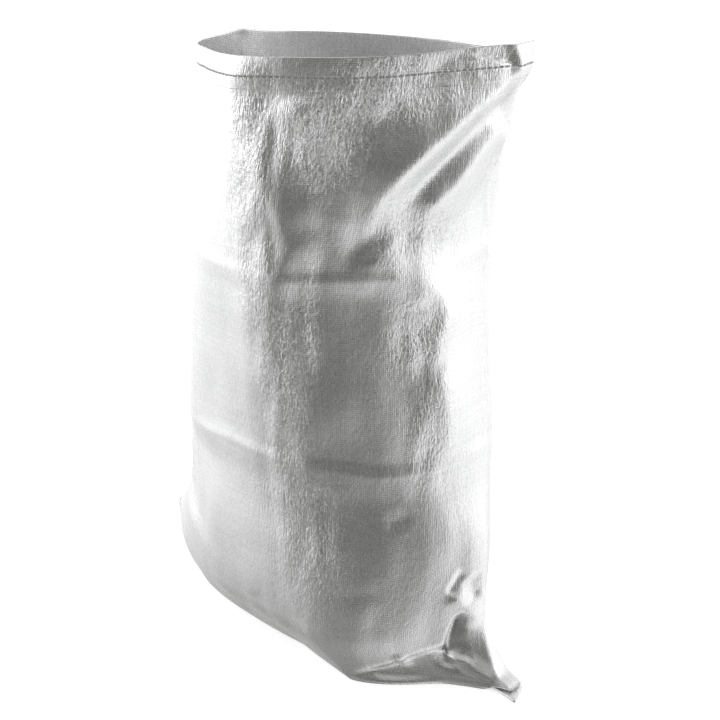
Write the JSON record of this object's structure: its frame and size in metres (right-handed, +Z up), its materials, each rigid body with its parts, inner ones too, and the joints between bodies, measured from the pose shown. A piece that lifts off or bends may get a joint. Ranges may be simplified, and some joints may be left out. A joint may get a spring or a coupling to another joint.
{
  "type": "rubble sack",
  "caption": "Open-topped sack of coated woven plastic cloth with a stitched top hem, standing upright on its sewn bottom seam, with its two bottom corners sticking out.",
  "frame": {"origin": "on the floor, at the middle of the sack's outline seen from above", "axes": "+Z up, X along the bottom seam from corner to corner with +X to the corner that lies on the floor, the front panel faces -Y"},
  "size_m": [0.5502, 0.3417, 0.732],
  "materials": {
    "coated_weave": "glossy white coated polypropylene tape weave",
    "thread": "matt off-white twisted polypropylene sewing thread"
  },
  "bodies": {
    "root": {"woven_sack": "coated_weave", "top_hem_thread": "thread", "bottom_seam_thread": "thread"}
  },
  "joints": []
}
